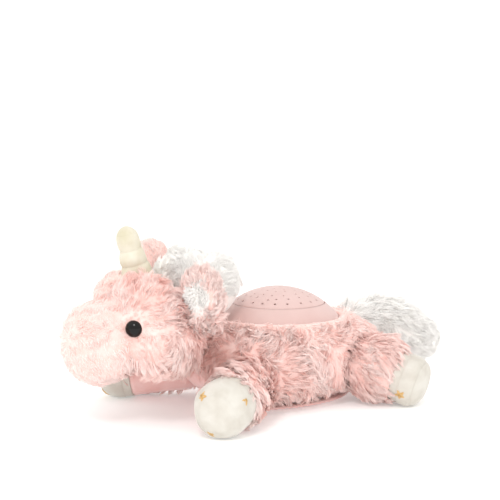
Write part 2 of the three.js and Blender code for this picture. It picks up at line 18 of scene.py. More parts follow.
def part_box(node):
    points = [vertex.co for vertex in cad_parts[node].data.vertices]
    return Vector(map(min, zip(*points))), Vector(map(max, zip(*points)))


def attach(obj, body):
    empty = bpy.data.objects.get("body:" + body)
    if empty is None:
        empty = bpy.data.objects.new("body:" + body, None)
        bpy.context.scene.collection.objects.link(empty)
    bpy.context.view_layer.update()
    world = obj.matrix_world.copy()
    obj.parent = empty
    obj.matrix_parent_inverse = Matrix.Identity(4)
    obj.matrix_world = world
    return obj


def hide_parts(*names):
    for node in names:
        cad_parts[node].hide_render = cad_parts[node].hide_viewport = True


MM = 0.001
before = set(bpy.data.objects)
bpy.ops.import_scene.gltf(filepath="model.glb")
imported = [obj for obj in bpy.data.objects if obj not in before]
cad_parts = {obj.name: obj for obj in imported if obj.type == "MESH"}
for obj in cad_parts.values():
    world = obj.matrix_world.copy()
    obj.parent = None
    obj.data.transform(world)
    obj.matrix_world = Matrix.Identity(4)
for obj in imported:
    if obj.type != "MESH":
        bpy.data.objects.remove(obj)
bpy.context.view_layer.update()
scene = bpy.context.scene

# -------- dimensions, mm
NECK = np.array([0, -76, 56.0])
NOSE = np.array([0, -166, 58.5])
EYE_SEAT = np.array([29.7, -134.4, 71.8])
EYE_AXIS = np.array([0.656, -0.752, -0.063])
EYE_RADIUS = 5.9
DOME_CENTRE = np.array([0, 6, 27.6])
DOME_RADIUS = 58.4
DOME_RIM = 35
COLLAR_RIM = 46
LIP_RADIUS = 52.5
HORN_BASE = np.array([0, -113, 98.0])
HORN_TIP = np.array([0, -124.5, 137.5])
HORN_GROOVES = (0.35, 0.61)
LEGS = {
    "front": {"hip": (43, -50, 25), "foot": (71, -88, 20.2), "hip_r": 19, "foot_r": 20},
    "rear": {"hip": (42, 53, 30), "foot": (72, 71.5, 19.6), "hip_r": 21, "foot_r": 19.4},
}
SIDES = (("left", 1), ("right", -1))
HOOF_START = 6
TAIL_LINE = [(0, 78, 54), (0, 100, 57), (0, 124, 48), (0, 145, 32)]


# -------- vectors
def unit(v):
    v = np.asarray(v, float)
    return v / np.maximum(np.linalg.norm(v, axis=-1, keepdims=True), 1e-9)


def smoothstep(value, low, high):
    t = np.clip((value - low) / (high - low), 0, 1)
    return t * t * (3 - 2 * t)


class Swirl:
    """A smooth random vector field, a sum of waves about `size` mm long."""

    def __init__(self, seed, size, waves=10):
        rng = np.random.default_rng(seed)
        heading = unit(rng.normal(size=(waves, 3)))
        self.wave = heading * (2 * np.pi / size) * rng.uniform(0.6, 1.5, (waves, 1))
        self.phase = rng.uniform(0, 2 * np.pi, (waves, 3))
        self.scale = math.sqrt(2 / waves)

    def __call__(self, points):
        angle = (points @ self.wave.T)[:, :, None] + self.phase[None]
        return np.sin(angle).sum(1) * self.scale


# -------- materials
def material(name, colour, roughness=0.9, sheen=0.0, metallic=0.0, coat=0.0, ior=1.45, specular=0.3):
    m = bpy.data.materials.new(name)
    m.use_nodes = True
    shader = m.node_tree.nodes["Principled BSDF"]
    values = {
        "Base Color": (*colour, 1), "Roughness": roughness, "Metallic": metallic, "Sheen Weight": sheen,
        "Sheen Roughness": 0.45, "Coat Weight": coat, "Coat Roughness": 0.05, "IOR": ior,
        "Specular IOR Level": specular,
    }
    for socket, value in values.items():
        shader.inputs[socket].default_value = value
    m.diffuse_color = (*colour, 1)
    return m


RAMP_ENDS = (0.32, 0.68)  # the noise values at which the first and the last colour are reached


def grained(m, colours, scale, bump=0.0, bump_scale=None, bump_distance=0.3, stretch=(1, 1, 1)):
    """Mixes the colours by noise of about 1/scale metres, and adds a bump by a finer noise."""
    tree = m.node_tree
    shader = tree.nodes["Principled BSDF"]
    place = tree.nodes.new("ShaderNodeTexCoord")
    spread = tree.nodes.new("ShaderNodeMapping")
    spread.inputs["Scale"].default_value = stretch
    tree.links.new(place.outputs["Object"], spread.inputs["Vector"])

    def noise(size, detail):
        node = tree.nodes.new("ShaderNodeTexNoise")
        node.inputs["Scale"].default_value = size
        node.inputs["Detail"].default_value = detail
        tree.links.new(spread.outputs["Vector"], node.inputs["Vector"])
        return node.outputs["Fac"]

    ramp = tree.nodes.new("ShaderNodeValToRGB")
    steps = np.linspace(*RAMP_ENDS, len(colours))
    while len(ramp.color_ramp.elements) < len(colours):
        ramp.color_ramp.elements.new(0.5)
    for element, at, colour in zip(ramp.color_ramp.elements, steps, colours):
        element.position = at
        element.color = (*colour, 1)
    tree.links.new(noise(scale, 4), ramp.inputs["Fac"])
    tree.links.new(ramp.outputs["Color"], shader.inputs["Base Color"])
    if bump:
        relief = tree.nodes.new("ShaderNodeBump")
        relief.inputs["Strength"].default_value = bump
        relief.inputs["Distance"].default_value = bump_distance * MM
        tree.links.new(noise(bump_scale or scale * 6, 3), relief.inputs["Height"])
        tree.links.new(relief.outputs["Normal"], shader.inputs["Normal"])
    return m


def srgb(r, g, b):
    """A colour given as 0-255 display values, as the linear values that the shader wants."""
    return tuple(((c / 255 + 0.055) / 1.055) ** 2.4 if c > 10 else c / 255 / 12.92 for c in (r, g, b))


def fur_shades(name, colours, sheen=0.25):
    """One plain material for each shade of a fur, darkest first."""
    return [material(f"{name}_{i}", srgb(*c), 0.85, sheen, specular=0.15) for i, c in enumerate(colours)]


PINK_FUR = fur_shades(
    "pink_fur", [(241, 188, 178), (248, 207, 199), (251, 221, 215), (253, 230, 225), (254, 237, 233)]
)
WHITE_FUR = fur_shades(
    "white_fur", [(246, 243, 239), (249, 247, 244), (251, 250, 247), (253, 252, 250), (254, 253, 251)], 0.2
)
pink_skin = grained(
    material("pink_backing", srgb(222, 165, 158), 0.95, 0.3),
    [srgb(247, 205, 196), srgb(250, 215, 208), srgb(252, 224, 218)], 140, bump=0.6, bump_distance=1.0,
)
pink_cloth = grained(
    material("pink_cloth", srgb(232, 178, 176), 0.85, 0.5),
    [srgb(244, 196, 190), srgb(248, 207, 202), srgb(251, 217, 213)], 60, bump=0.35, bump_scale=900,
)
white_skin = grained(
    material("white_backing", srgb(228, 225, 222), 0.95, 0.2),
    [srgb(244, 241, 237), srgb(249, 247, 244), srgb(252, 251, 248)], 120, bump=0.5, bump_distance=0.8,
)
ivory = grained(
    material("ivory_velour", srgb(216, 212, 202), 0.8, 0.3),
    [srgb(203, 198, 188), srgb(211, 207, 198), srgb(218, 215, 207)], 90,
    bump=0.25, bump_scale=1400, bump_distance=0.2,
)
horn_cloth = grained(
    material("horn_satin", srgb(216, 210, 190), 0.6, 0.2),
    [srgb(206, 199, 174), srgb(216, 210, 190), srgb(224, 220, 204)], 70,
    bump=0.25, bump_scale=1100, bump_distance=0.2,
)
gold_thread = grained(
    material("gold_thread", srgb(216, 168, 92), 0.45, 0.2, specular=0.5),
    [srgb(196, 150, 84), srgb(216, 176, 112), srgb(230, 198, 146)], 900,
    bump=0.6, bump_scale=2600, stretch=(1, 1, 4),
)
eye_black = material("eye_gloss", srgb(8, 6, 6), 0.05, ior=1.5, specular=0.32)
grained(eye_black, [srgb(5, 4, 4), srgb(12, 8, 8)], 60)
dome_plastic = grained(
    material("dome_plastic", srgb(216, 187, 182), 0.4, coat=0.1, specular=0.35),
    [srgb(212, 181, 176), srgb(216, 187, 182), srgb(220, 192, 188)], 25,
    bump=0.08, bump_scale=600, bump_distance=0.1,
)


# -------- meshes
def new_object(name, verts, faces, mats, index=None):
    """A mesh from points in mm; faces is a list of integer arrays, each of one corner count."""
    mesh = bpy.data.meshes.new(name)
    faces = [np.asarray(f, np.int32).reshape(-1, np.shape(f)[-1]) for f in faces if len(f)]
    loops = np.concatenate([f.ravel() for f in faces])
    sizes = np.concatenate([np.full(len(f), f.shape[1], np.int32) for f in faces])
    mesh.vertices.add(len(verts))
    mesh.vertices.foreach_set("co", (np.asarray(verts) * MM).astype(np.float32).ravel())
    mesh.loops.add(len(loops))
    mesh.loops.foreach_set("vertex_index", loops)
    mesh.polygons.add(len(sizes))
    mesh.polygons.foreach_set("loop_start", np.concatenate([[0], np.cumsum(sizes)[:-1]]).astype(np.int32))
    if index is not None:
        mesh.polygons.foreach_set("material_index", np.asarray(index, np.int32))
    mesh.polygons.foreach_set("use_smooth", np.full(len(sizes), True))
    for m in mats:
        mesh.materials.append(m)
    mesh.update(calc_edges=True)
    mesh.validate()
    o = bpy.data.objects.new(name, mesh)
    scene.collection.objects.link(o)
    return o


def read_mesh(o):
    """Points in mm and triangles of an object as it is shown."""
    e = o.evaluated_get(bpy.context.evaluated_depsgraph_get())
    m = e.to_mesh()
    co = np.zeros(len(m.vertices) * 3, np.float32)
    m.vertices.foreach_get("co", co)
    m.calc_loop_triangles()
    tris = np.zeros(len(m.loop_triangles) * 3, np.int32)
    m.loop_triangles.foreach_get("vertices", tris)
    e.to_mesh_clear()
    return co.reshape(-1, 3).astype(float) / MM, tris.reshape(-1, 3)


def facing(verts, tris):
    """Each triangle's normal, as long as twice its area."""
    a, b, c = (verts[tris[:, k]] for k in range(3))
    return np.cross(b - a, c - a)


def normals_of(verts, tris):
    face = facing(verts, tris)
    out = np.zeros_like(verts)
    for k in range(3):
        np.add.at(out, tris[:, k], face)
    return unit(out)


def joined(parts):
    """Several meshes as one, each given as its points and a list of face arrays, alike in all of them."""
    verts, faces, count = [], [], 0
    for points, groups in parts:
        verts.append(points)
        faces.append([group + count for group in groups])
        count += len(points)
    return np.concatenate(verts), [np.concatenate(groups) for groups in zip(*faces)]


def largest_shell(verts, tris):
    """Keeps the part of the surface that is joined to most of it."""
    label = np.arange(len(verts))
    while True:
        low = label[tris].min(1)
        new = label.copy()
        for k in range(3):
            np.minimum.at(new, tris[:, k], low)
        new = new[new]
        if (new == label).all():
            break
        label = new
    names, counts = np.unique(label[tris[:, 0]], return_counts=True)
    kept = tris[label[tris[:, 0]] == names[counts.argmax()]]
    used, kept = np.unique(kept, return_inverse=True)
    return verts[used], kept.reshape(-1, 3)


def fused(nodes, voxel, rounds, swell):
    """One smooth closed surface round several CAD solids, swollen by some mm, as points and triangles.

    voxel is the remesh's cell in mm, and rounds is how many times it is smoothed.
    """
    bm = bmesh.new()
    for node in nodes:
        bm.from_mesh(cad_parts[node].data)
    mesh = bpy.data.meshes.new("fused")
    bm.to_mesh(mesh)
    bm.free()
    o = bpy.data.objects.new("fused", mesh)
    scene.collection.objects.link(o)
    remesh = o.modifiers.new("remesh", "REMESH")
    remesh.mode = "VOXEL"
    remesh.voxel_size = voxel * MM
    soften = o.modifiers.new("soften", "SMOOTH")
    soften.factor = 0.5
    soften.iterations = rounds
    verts, tris = read_mesh(o)
    bpy.data.objects.remove(o)
    verts, tris = largest_shell(verts, tris)
    return verts + normals_of(verts, tris) * swell, tris


# -------- fur
def scatter(verts, tris, normals, count, rng):
    """Points spread evenly over a surface, with the surface's direction at each."""
    a, b, c = (verts[tris[:, k]] for k in range(3))
    area = np.linalg.norm(facing(verts, tris), axis=1)
    pick = rng.choice(len(tris), count, p=area / area.sum())
    u, v = rng.random((2, count, 1))
    u, v = np.where(u + v > 1, 1 - u, u), np.where(u + v > 1, 1 - v, v)
    na, nb, nc = (normals[tris[pick, k]] for k in range(3))
    points = a[pick] + u * (b[pick] - a[pick]) + v * (c[pick] - a[pick])
    return points, unit(na * (1 - u - v) + nb * u + nc * v)


def open_to_air(points, normals, tree, reach):
    """Which points have no surface in front of them within reach."""
    return np.array([
        tree.ray_cast(Vector(p + n * 0.8), Vector(n), reach)[0] is None for p, n in zip(points, normals)
    ])


NEIGHBOURS = list(itertools.product((-1, 0, 1), repeat=3))


def clump_centres(roots, order, spacing):
    """Which roots, tried in the given order, lie clear of all those chosen before them."""
    centres, grid = [], {}
    for i in order:
        x, y, z = (roots[i] // spacing).astype(int)
        around = [(x + a, y + b, z + c) for a, b, c in NEIGHBOURS]
        near = [grid[cell] for cell in around if cell in grid]
        if all(np.linalg.norm(roots[i] - roots[j]) > spacing * 0.8 for j in near):
            grid[x, y, z] = i
            centres.append(i)
    return np.array(centres)


ROOT_DEPTH = 0.7  # a strand starts this far below its skin
RISE = ((0.5, 1.15), (1.0, 0.62))  # its middle and tip: the share of its length, and of its lift
CLUMP_SWERVE, CLUMP_LIFT, CLUMP_STRETCH = 0.38, 0.22, 0.18  # how much clumps differ in each
STRAND_SWERVE, STRAND_LENGTHS = 0.16, (0.72, 1.12)  # how much the strands of one clump differ
GATHER_STEPS = (0, 0.42, 0.78)  # how far root, middle and tip are drawn to the clump's own line
FLOOR_GAP, FLOOR_STEP = 0.5, 0.25  # strands stay this far above the floor, and more towards the tip


def strands(roots, normals, style, rng, clump_spacing, width, seed):
    """Tapered fur strands gathered in clumps, as lines of points with a tone and a thickness each.

    style(points, normals) gives for each point the way the fur lies, its length, how far it stands up
    from the skin in radians, a tone from 0, dark as painted shade deep in the pile, to 1, pale, and how much
    it clumps, 0 to 1.
    """
    count = len(roots)
    centres = clump_centres(roots, rng.permutation(count), clump_spacing)
    tree = KDTree(len(centres))
    for k, i in enumerate(centres):
        tree.insert(roots[i], k)
    tree.balance()
    clump = np.array([tree.find(p)[1] for p in roots])

    flow, *rest = style(roots, normals)
    length, lift, tone, gather = (np.broadcast_to(value, count) for value in rest)
    turn = Swirl(seed, 9)(roots[centres])
    flow = unit(flow - (flow * normals).sum(1, keepdims=True) * normals)
    side = np.cross(normals, flow)
    lead = flow[centres] + CLUMP_SWERVE * turn[:, :1] * side[centres]
    lead_lift = lift[centres] + CLUMP_LIFT * turn[:, 1]
    lead_length = length[centres] * (1 + CLUMP_STRETCH * turn[:, 2])

    def path(root, normal, heading, up, size):
        """Points from below the skin to the tip: rises, then lies over."""
        heading = unit(heading - (heading * normal).sum(1, keepdims=True) * normal)
        out = [root - normal * ROOT_DEPTH]
        for reach, rise in RISE:
            angle = (up * rise)[:, None]
            out.append(root + size[:, None] * reach * (np.cos(angle) * heading + np.sin(angle) * normal))
        return out

    own = path(roots, normals, lead[clump] + rng.normal(0, STRAND_SWERVE, (count, 3)), lead_lift[clump],
               lead_length[clump] * rng.uniform(*STRAND_LENGTHS, count))
    guide = path(roots[centres], normals[centres], lead, lead_lift, lead_length)
    gather = gather[:, None]
    line = [o * (1 - w * gather) + g[clump] * w * gather for o, g, w in zip(own, guide, GATHER_STEPS)]
    line = [np.column_stack([p[:, :2], np.maximum(p[:, 2], FLOOR_GAP + FLOOR_STEP * k)])
            for k, p in enumerate(line)]
    tone = tone + 0.10 * turn[clump, 0] + rng.normal(0, 0.05, count)
    return line, tone, width * rng.uniform(0.75, 1.25, count)


# how many shades a strand's foot is darker, as painted shade deep in the pile, and its tip paler, as painted
# light, than its tone says
ROOT_PAINTED_SHADE, TIP_PAINTED_LIGHT = 0.6, 0.25


def strand_mesh(line, tone, radius, shades, first_slot):
    """Closed three-sided spikes along the strands' lines, as triangles, with a root darkened by painted shade
    and a tip paled by painted light.
    """
    count = len(tone)
    along = unit(line[-1] - line[0])
    helper = np.where(np.abs(along[:, 2:]) < 0.8, [[0, 0, 1.0]], [[1.0, 0, 0]])
    across = unit(np.cross(along, helper))
    other = np.cross(along, across)
    rings = len(line) - 1
    tip = rings * 3
    verts = np.zeros((count, tip + 1, 3))
    for ring, share in enumerate(np.linspace(1.0, 0.7, rings)):
        for k in range(3):
            angle = 2 * math.pi * k / 3
            verts[:, ring * 3 + k] = line[ring] + (radius * share)[:, None] * (
                math.cos(angle) * across + math.sin(angle) * other)
    verts[:, tip] = line[-1]
    start = (np.arange(count) * (tip + 1))[:, None]
    last = len(shades) - 1

    def slot(level):
        return first_slot + np.clip(np.round(level), 0, last).astype(int)

    # painted shade on each strand's foot and painted light on its tip
    foot_painted_shade_slot, tip_painted_light_slot = slot(tone * last - ROOT_PAINTED_SHADE), slot(tone * last + TIP_PAINTED_LIGHT)
    tris, slots = [start + np.array([[0, 2, 1]])], [foot_painted_shade_slot]
    for ring in range(rings - 1):
        for k in range(3):
            a, b = ring * 3 + k, ring * 3 + (k + 1) % 3
            tris += [start + np.array([[a, b, b + 3]]), start + np.array([[a, b + 3, a + 3]])]
            slots += [foot_painted_shade_slot, foot_painted_shade_slot]
    for k in range(3):
        tris.append(start + np.array([[tip - 3 + k, tip - 3 + (k + 1) % 3, tip]]))
        slots.append(tip_painted_light_slot)
    return verts.reshape(-1, 3), np.concatenate(tris), np.concatenate(slots)


CURVED_SHARE = 0.25  # the share of strands that bend; the rest are straight and cost fewer faces


SPARE_ROOTS = 2.2  # roots tried for each strand wanted, as some fall where none may stand


def furry(name, verts, tris, skin_mats, shades, style, seed, pile,
          allowed=None, skin_slots=None, keep_out=()):
    """A plush piece: its backing cloth with the pile standing on it, as one mesh.

    pile is a row of PILE. allowed(points, normals) and the keep_out balls say where strands may stand,
    and skin_slots which of skin_mats each triangle has.
    """
    count, clump, width, reach = pile
    rng = np.random.default_rng(seed)
    normals = normals_of(verts, tris)
    tree = BVHTree.FromPolygons([Vector(v) for v in verts], tris.tolist())
    roots, ups = scatter(verts, tris, normals, int(count * SPARE_ROOTS), rng)
    keep = np.ones(len(roots), bool) if allowed is None else allowed(roots, ups)
    roots, ups = roots[keep], ups[keep]
    keep = open_to_air(roots, ups, tree, reach)
    roots, ups = roots[keep][:count], ups[keep][:count]
    line, tone, radius = strands(roots, ups, style, rng, clump, width, seed + 1)
    clear = np.ones(len(tone), bool)
    for centre, size in keep_out:
        for p in line[1:]:
            clear &= np.linalg.norm(p - centre, axis=1) > size
    line, tone, radius = [p[clear] for p in line], tone[clear], radius[clear]
    curved = int(len(tone) * CURVED_SHARE)
    all_verts, all_tris = [verts], [tris]
    all_slots = [np.zeros(len(tris), int) if skin_slots is None else skin_slots]
    base = len(verts)
    for points, part in ((line, slice(0, curved)), (line[::2], slice(curved, None))):
        v, t, k = strand_mesh([q[part] for q in points], tone[part], radius[part], shades, len(skin_mats))
        all_verts.append(v)
        all_tris.append(t + base)
        all_slots.append(k)
        base += len(v)
    o = new_object(name, np.concatenate(all_verts), [np.concatenate(all_tris)], [*skin_mats, *shades],
                   np.concatenate(all_slots))
    o.data.polygons.foreach_set("use_smooth", np.arange(len(o.data.polygons)) < len(tris))
    return o


# -------- camera, floor and light
CAMERA_PLACE, CAMERA_AIM = Vector((0.7590, -0.5370, 0.2200)), Vector((-0.0620, 0.0227, 0.1064))  # metres
camera_data = bpy.data.cameras.new("camera")
camera_data.lens = 90
camera_data.sensor_width = 36
camera = bpy.data.objects.new("camera", camera_data)
camera.location = CAMERA_PLACE
camera.rotation_mode = "QUATERNION"
camera.rotation_quaternion = (CAMERA_AIM - CAMERA_PLACE).to_track_quat("-Z", "Y")
scene.collection.objects.link(camera)
scene.camera = camera

floor_mat = grained(
    material("studio_floor", (0.93, 0.93, 0.93), 0.9, specular=0.1),
    [(0.925, 0.925, 0.925), (0.935, 0.935, 0.935)], 3,
)
floor_shader = floor_mat.node_tree.nodes["Principled BSDF"]
floor_shader.inputs["Emission Color"].default_value = (1, 1, 1, 1)
floor_shader.inputs["Emission Strength"].default_value = 0.22  # a softly lit white table
FLOOR = 3000  # half the floor's width
floor = new_object(
    "floor", [(-FLOOR, -FLOOR, 0), (FLOOR, -FLOOR, 0), (FLOOR, FLOOR, 0), (-FLOOR, FLOOR, 0)],
    [np.array([[0, 1, 2, 3]])], [floor_mat],
)

world = bpy.data.worlds.new("studio")
world.use_nodes = True
world.node_tree.nodes["Background"].inputs["Color"].default_value = (1, 0.98, 0.96, 1)
world.node_tree.nodes["Background"].inputs["Strength"].default_value = 1.12
scene.world = world
scene.view_settings.view_transform = "Standard"


def lamp(name, kind, place, aim_at, size, power):
    """A light with places in metres; size is a sun's angle or a disc's width."""
    light = bpy.data.lights.new(name, kind)
    if kind == "SUN":
        light.angle = size
    else:
        light.shape = "DISK"
        light.size = size
    light.energy = power
    o = bpy.data.objects.new(name, light)
    o.location = place
    o.rotation_mode = "QUATERNION"
    o.rotation_quaternion = (Vector(aim_at) - Vector(place)).to_track_quat("-Z", "Y")
    scene.collection.objects.link(o)


lamp("key", "SUN", (0.3, -0.9, 1.6), (0, 0, 0), 0.9, 0.15)
lamp("glint", "AREA", (0.72, -0.72, 1.0), (0, -0.12, 0.07), 0.30, 4.0)

# -------- how the fur lies
# Each style gives the flow, length, lift, tone and gathering that strands() asks for.
swirl_wide = Swirl(11, 62)
swirl_mid = Swirl(12, 26)


def body_style(p, n):
    x, y, z = p.T
    away = p - DOME_CENTRE
    radial = np.hypot(away[:, 0], away[:, 1])
    lip = (1 - smoothstep(radial, 52, 61)) * smoothstep(z, 44, 54)
    front = 1 - smoothstep(y, -25, 42)
    sweep = np.tile([0.0, 0.85, -0.55], (len(p), 1))
    sweep += (0.3 + 0.7 * front)[:, None] * (0.7 * swirl_wide(p) + 0.4 * swirl_mid(p))
    outward = unit(np.column_stack([away[:, :2], np.zeros(len(p))]))
    flow = sweep * (1 - lip[:, None]) + (outward + 0.5 * swirl_mid(p)) * lip[:, None]
    length = 8.0 + 3.0 * front * (1 - lip) - 1.0 * lip
    up = 0.38 + 0.16 * front + 0.68 * lip
    gather = (0.66 + 0.2 * front) * (1 - 0.4 * lip)
    tone = 0.60 - 0.08 * front + 0.10 * smoothstep(z, 10, 50) + 0.10 * swirl_mid(p)[:, 0] + 0.05 * lip
    # painted shade: the fur's tone is lowered behind the cheek and in a band on the flanks in front of the
    # rear legs
    painted_shade_behind_cheek = 1 - smoothstep(np.abs(y + 70), 5, 22)
    painted_shade_in_leg_crease = (1 - smoothstep(np.abs(y - 26), 3, 14)) * smoothstep(np.abs(x), 36, 46)
    return flow, length, up, tone + 0.06 - 0.30 * painted_shade_behind_cheek - 0.16 * painted_shade_in_leg_crease, gather


CLOTH_TOP = 8.5  # the body's cloth underside reaches this far up


def chest(p):
    """The smooth cloth between the front legs, under the head."""
    x, y, z = p.T
    return (y < -40) & (z < 30) & (np.abs(x) < 36)


def body_fur_area(p, n):
    """All but the well that the light sits in, the underside, the chest, the neck and the hips."""
    x, y, z = p.T
    away = p - DOME_CENTRE
    radial = np.hypot(away[:, 0], away[:, 1])
    well = (radial < LIP_RADIUS - 1.5) & (z > 20)
    keep = ~well & (z > CLOTH_TOP) & ~chest(p)
    keep &= np.linalg.norm(p - NECK, axis=1) > 22
    for leg in LEGS.values():
        hip = np.array(leg["hip"], float)
        local = np.column_stack([np.abs(x), p[:, 1:]])
        keep &= np.linalg.norm(local - hip, axis=1) > leg["hip_r"] + 0.5
    return keep


def head_style(p, n):
    x, y, z = p.T
    mirror = np.where(p[:, :1] < 0, -1.0, 1.0)
    from_eye = p - EYE_SEAT * np.column_stack([mirror, np.ones_like(mirror), np.ones_like(mirror)])
    gap = np.linalg.norm(from_eye, axis=1)
    near = 1 - smoothstep(gap, 20, 46)
    muzzle = 1 - smoothstep(y, -150, -130)
    far_brow = (1 - smoothstep(x, -12, 8)) * (1 - smoothstep(y, -118, -100))
    far_brow *= smoothstep(z, 66, 76)
    muzzle = np.maximum(muzzle, far_brow)
    top = smoothstep(z, 78, 96)
    painted_shade_on_brow = smoothstep(x, 4, 16) * smoothstep(z, 78, 86) * (1 - muzzle)
    back = smoothstep(y, -116, -92)
    cheek = smoothstep(np.abs(x), 20, 36) * (1 - smoothstep(z, 50, 74)) * (1 - muzzle)
    flow = unit(from_eye) * near[:, None] * 1.3
    flow += np.array([0.0, 0.35, -0.85]) * (1 - top[:, None]) * (0.25 + 0.75 * (1 - near[:, None]))
    flow += np.array([0.0, 1.0, 0.1]) * top[:, None]
    flow += unit(p - NOSE) * muzzle[:, None] * 1.5
    flow += (0.55 * swirl_wide(p + 40) + 0.4 * swirl_mid(p + 20)) * (1 - 0.8 * muzzle[:, None])
    length = 8.5 - 4.0 * muzzle + 2.0 * back + 1.0 * cheek
    length *= 0.4 + 0.6 * smoothstep(gap, 8, 18)
    up = 0.42 - 0.12 * muzzle + 0.08 * back
    # painted shade: the tone is lowered at the back of the head towards the neck and on the near brow
    tone = 0.66 + 0.32 * muzzle + 0.12 * swirl_mid(p)[:, 0] * (1 - muzzle) - 0.16 * back - 0.10 * painted_shade_on_brow
    return flow, length, up, tone, 0.78 - 0.5 * muzzle


def head_fur_area(p, n):
    """All but the neck, the eyes and the horn's foot."""
    x, y, z = p.T
    keep = np.linalg.norm(p - NECK, axis=1) > 23
    for side in (1, -1):
        eye = EYE_SEAT * (side, 1, 1)
        keep &= np.linalg.norm(p - eye, axis=1) > 5.4
    horn_gap = np.hypot(x, y - HORN_BASE[1])
    keep &= ~((horn_gap < 10) & (z > 88))
    return keep


def leg_points(kind, side):
    """A leg's hip, its foot and the direction between them."""
    leg = LEGS[kind]
    hip = np.array(leg["hip"], float) * (side, 1, 1)
    foot = np.array(leg["foot"], float) * (side, 1, 1)
    return hip, foot, unit(foot - hip)


def leg_style(kind, side):
    hip, foot, axis = leg_points(kind, side)
    whirl = 0.75 if kind == "front" else 0.3

    def style(p, n):
        along = (p - hip) @ axis
        reach = np.linalg.norm(foot - hip)
        cuff = smoothstep(along, reach - 22, reach - 8)
        flow = np.tile(axis, (len(p), 1)) + whirl * (0.7 * swirl_wide(p) + 0.45 * swirl_mid(p))
        flow += np.array([0, 0, -0.25])
        length = 10.0 - 1.5 * cuff
        up = 0.42 - 0.08 * cuff
        # painted shade: the fur is darker near the hip, where the leg meets the body
        tone = 0.68 + 0.12 * cuff + 0.12 * swirl_mid(p)[:, 1] - 0.22 * (1 - smoothstep(along, -2, 12))
        return flow, length, up, tone, 0.85

    return style


def inner_side(p, n, kind):
    """The smooth cloth on the front legs, towards the chest and the floor."""
    inward = n[:, 0] * np.sign(p[:, 0]) + 0.6 * n[:, 2]
    return (kind == "front") & (inward < -0.4)


def leg_fur_area(kind, side):
    hip, foot, axis = leg_points(kind, side)

    def area(p, n):
        along = (p - foot) @ axis
        inside = np.abs(p[:, 0]) < 44
        at_hip = inside & (np.linalg.norm(p - hip, axis=1) < 12)
        return (along < -HOOF_START - 0.5) & ~at_hip & ~inner_side(p, n, kind)

    return area


# -------- skins and piles
# each kind of skin: its remesh's voxel, its rounds of smoothing and its swelling
SKIN = {
    "body": (1.9, 4, 0), "head": (1.7, 4, 0), "leg": (1.6, 3, 0), "left_ear": (1.0, 3, 0.8),
    "right_ear": (1.0, 3, 2.6), "lining": (0.9, 3, 0), "mane": (1.8, 8, 4), "tail": (1.8, 8, 0.4),
    "neck": (1.5, 3, 0),
}
# each kind of pile: how many strands, their clumps' spacing, their radius, and the air they need in front
PILE = {
    "body": (31000, 3.6, 0.30, 14), "head": (31000, 3.2, 0.27, 14), "leg": (11500, 3.2, 0.28, 14),
    "ear": (9000, 2.6, 0.24, 4), "lining": (5000, 2.0, 0.22, 2), "mane": (20000, 3.4, 0.25, 14),
    "tail": (22000, 3.8, 0.27, 14), "neck": (2500, 3.2, 0.35, 14),
}

# -------- body
FOLDS, FOLD_DEPTH = 58, 1.1  # the folds gathered into the hem
verts, tris = fused(["body_cover", "body_stuffing"], *SKIN["body"])
heading = np.arctan2(verts[:, 1] - DOME_CENTRE[1], verts[:, 0] * 1.6)
fold = np.sin(heading * FOLDS + 2.2 * swirl_wide(verts)[:, 0])
band = smoothstep(verts[:, 2], 3.0, 6.0) * (1 - smoothstep(verts[:, 2], 9, 16))
verts = verts + normals_of(verts, tris) * (FOLD_DEPTH * fold * band)[:, None]
centre = verts[tris].mean(1)
slots = np.where((centre[:, 2] < CLOTH_TOP) | chest(centre), 1, 0)
body = furry("body_plush", verts, tris, [pink_skin, pink_cloth], PINK_FUR, body_style, 101, PILE["body"],
             body_fur_area, slots)
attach(body, "torso")
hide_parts("body_cover", "body_stuffing")

# -------- head
MUZZLE_SWELL = 3.2
verts, tris = fused(["head_cover", "head_stuffing"], *SKIN["head"])
verts = verts + normals_of(verts, tris) * (MUZZLE_SWELL * (1 - smoothstep(verts[:, 1], -160, -136)))[:, None]
eyes = [(EYE_SEAT * (s, 1, 1) + EYE_AXIS * (s, 1, 1) * 1.5, EYE_RADIUS + 0.7) for s in (1, -1)]
head = furry("head_plush", verts, tris, [pink_skin], PINK_FUR, head_style, 102, PILE["head"],
             head_fur_area, keep_out=eyes)
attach(head, "head")
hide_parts("head_cover", "head_stuffing")

# -------- legs
for kind in LEGS:
    for side_name, side in SIDES:
        part = f"{kind}_{side_name}_leg"
        verts, tris = fused([f"{part}_cover", f"{part}_stuffing"], *SKIN["leg"])
        centre = verts[tris].mean(1)
        slots = inner_side(centre, unit(facing(verts, tris)), kind).astype(int)
        leg = furry(f"{part}_plush", verts, tris, [pink_skin, pink_cloth], PINK_FUR, leg_style(kind, side),
                    200 + len(part) + side, PILE["leg"], leg_fur_area(kind, side), slots)
        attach(leg, part)
        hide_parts(f"{part}_cover", f"{part}_stuffing")

# -------- ears, mane and tail
def ear_style(node, fluff):
    """The fur runs up and out from the ear's foot; fluff makes it longer and looser, 0 to 1."""
    lo, hi = (np.array(v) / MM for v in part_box(node))
    middle = (lo + hi) / 2
    root = np.array([middle[0] * 0.8, middle[1], lo[2] - 8])

    def style(p, n):
        flow = unit(p - root) + 0.6 * unit(p - middle) + 0.35 * swirl_mid(p)
        tip = smoothstep((p[:, 2] - lo[2]) / (hi[2] - lo[2]), 0.2, 0.9)
        # painted shade: the fur is darker towards the ear's foot and paler towards its tip
        tone = 0.88 + 0.10 * tip + 0.08 * swirl_mid(p)[:, 0]
        return flow, 3.5 + 4.5 * fluff, 0.28 + 0.3 * fluff, tone, 0.3 + 0.5 * fluff

    return style


def lining_style(p, n):
    flow = np.array([0, -0.2, 1.0]) + 0.8 * swirl_mid(p)
    return flow, 3.2, 0.7, 0.75 + 0.1 * swirl_mid(p)[:, 1], 0.5


LINING_GAP = 1.6  # the ear's own fur keeps this far off its lining

